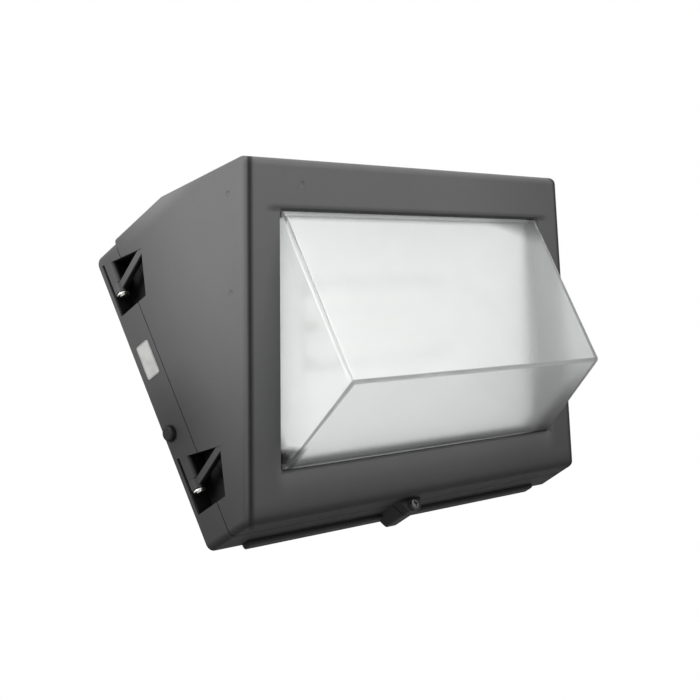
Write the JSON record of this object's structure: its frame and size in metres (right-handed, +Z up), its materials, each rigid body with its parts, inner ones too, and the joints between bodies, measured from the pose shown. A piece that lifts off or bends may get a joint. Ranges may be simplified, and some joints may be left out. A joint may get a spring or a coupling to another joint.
{
  "type": "wall pack light",
  "caption": "Wedge-shaped outdoor wall light: shallow back housing, deep hinged front cover with a sloping face and a frosted prism-shaped glass refractor over an LED engine.",
  "frame": {"origin": "middle of the flat face that lies against the wall", "axes": "+Y into the wall, -Y the way the light shines, +Z up, +X to the right of someone facing the light"},
  "size_m": [0.3819, 0.1554, 0.2423],
  "materials": {
    "painted_casting": "dark grey satin powder coat on an aluminium die casting",
    "glass": "pressed prismatic borosilicate glass, frosted white",
    "gasket": "matt black silicone",
    "zinc_steel": "bright zinc plate",
    "bracket_steel": "galvanised sheet",
    "heat_sink_aluminium": "extruded, plain",
    "board_white": "white solder mask",
    "led_yellow": "yellow phosphor",
    "reflector_white": "white painted sheet aluminium",
    "plastic_white": "moulded white plastic",
    "label_white": "blank printed label stock",
    "driver_grey": "satin anodised case",
    "surge_black": "moulded black plastic",
    "terminal_grey": "moulded dark plastic",
    "ground_green": "green passivated screw",
    "brass": "tinned brass",
    "lead_red": "red insulation",
    "lead_black": "black insulation",
    "lead_white": "white insulation",
    "lead_green": "green insulation"
  },
  "bodies": {
    "housing": {"back_housing": "painted_casting", "housing_gasket": "gasket", "wiring_grommet": "gasket", "side_label": "label_white", "hinge_pin_upper": "zinc_steel", "hinge_pin_lower": "zinc_steel", "hinge_pin_clips": "zinc_steel", "heat_sink": "heat_sink_aluminium", "heat_sink_screws": "zinc_steel", "led_board": "board_white", "led_chips": "led_yellow", "led_board_screws": "zinc_steel", "led_connector": "plastic_white", "reflector": "reflector_white", "reflector_screws": "zinc_steel", "bracket_left": "bracket_steel", "bracket_right": "bracket_steel", "bracket_screws": "zinc_steel", "driver_case": "driver_grey", "driver_screws": "zinc_steel", "surge_protector": "surge_black", "surge_protector_screw": "zinc_steel", "terminal_block": "terminal_grey", "terminal_screws": "brass", "terminal_block_screws": "zinc_steel", "ground_screw": "ground_green", "ground_lug": "brass", "ground_lead": "lead_green", "board_lead_positive": "lead_red", "board_lead_negative": "lead_black", "supply_lead_line": "lead_black", "supply_lead_neutral": "lead_white", "driver_lead_line": "lead_black", "driver_lead_neutral": "lead_white", "lead_clip": "plastic_white"},
    "cover": {"front_cover": "painted_casting", "refractor": "glass", "refractor_gasket": "gasket", "refractor_clips": "zinc_steel", "refractor_clip_screws": "zinc_steel"},
    "latch_screw": {"closing_screw": "zinc_steel", "closing_screw_washer": "gasket"}
  },
  "joints": [
    {"name": "cover_swing", "type": "hinge", "parent": "housing", "child": "cover", "pos_m": [-0.185, -0.0086, 0], "axis": [0, 0, -1], "range_deg": [0, 90]},
    {"name": "closing_screw_travel", "type": "slide", "parent": "cover", "child": "latch_screw", "axis": [0, -1, 0], "range_m": [0, 0.01]}
  ]
}
